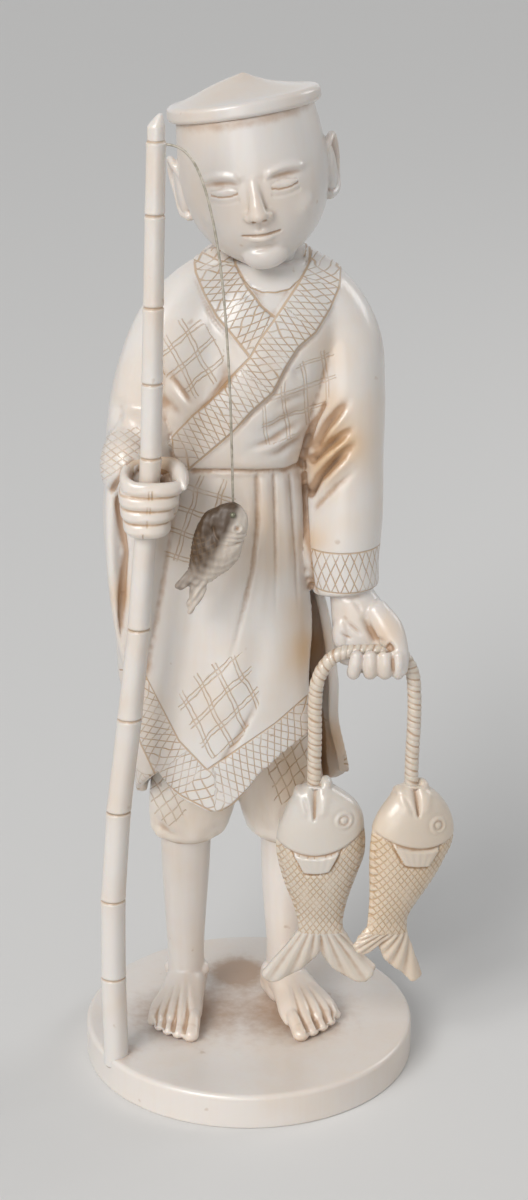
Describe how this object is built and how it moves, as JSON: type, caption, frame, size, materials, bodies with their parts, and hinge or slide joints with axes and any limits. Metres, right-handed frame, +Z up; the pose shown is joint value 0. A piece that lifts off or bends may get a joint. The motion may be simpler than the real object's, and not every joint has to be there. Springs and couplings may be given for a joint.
{
  "type": "okimono carving of a fisherman",
  "caption": "Standing fisherman carved in ivory-like pieces on a round base, with a bamboo rod, a small fish on a wire line and two fish on a carved rope.",
  "frame": {"origin": "centre of the base's flat underside", "axes": "+Z up, -Y towards the front of the figure, +X to the viewer's right"},
  "size_m": [0.0723, 0.0662, 0.1987],
  "materials": {
    "ivory": "polished, warm ivory-like, with brown stain in the incised lines",
    "ivory_base": "turned and polished, with faint grain",
    "ivory_rod": "polished, with stained node rings",
    "ivory_fish": "polished over stained scales",
    "small_fish": "brown-grey, rough scales",
    "line_wire": "dull, tarnished"
  },
  "bodies": {
    "figure": {"base_disc": "ivory_base", "foot_pegs": "ivory_base", "right_leg": "ivory", "left_leg": "ivory", "breeches": "ivory", "seat_peg": "ivory", "robe": "ivory", "head": "ivory", "hat": "ivory", "hat_peg": "ivory", "right_hand": "ivory", "left_hand": "ivory", "rod_lower": "ivory_rod", "rod_middle": "ivory_rod", "rod_upper": "ivory_rod", "rod_pegs": "ivory_rod", "rope_grip": "ivory_fish", "near_rope": "ivory_fish", "far_rope": "ivory_fish", "near_fish": "ivory_fish", "far_fish": "ivory_fish"},
    "line": {"fishing_line": "line_wire", "line_bead": "line_wire"},
    "small_fish": {"hooked_fish": "small_fish"}
  },
  "joints": [
    {"name": "line_swing", "type": "hinge", "parent": "figure", "child": "line", "pos_m": [-0.01513, -0.02246, 0.1908], "axis": [1, 0, 0], "range_deg": [-40, 3]},
    {"name": "fish_swing", "type": "hinge", "parent": "line", "child": "small_fish", "pos_m": [-0.00256, -0.02256, 0.1234], "axis": [0, 1, 0], "range_deg": [-45, 5]}
  ]
}
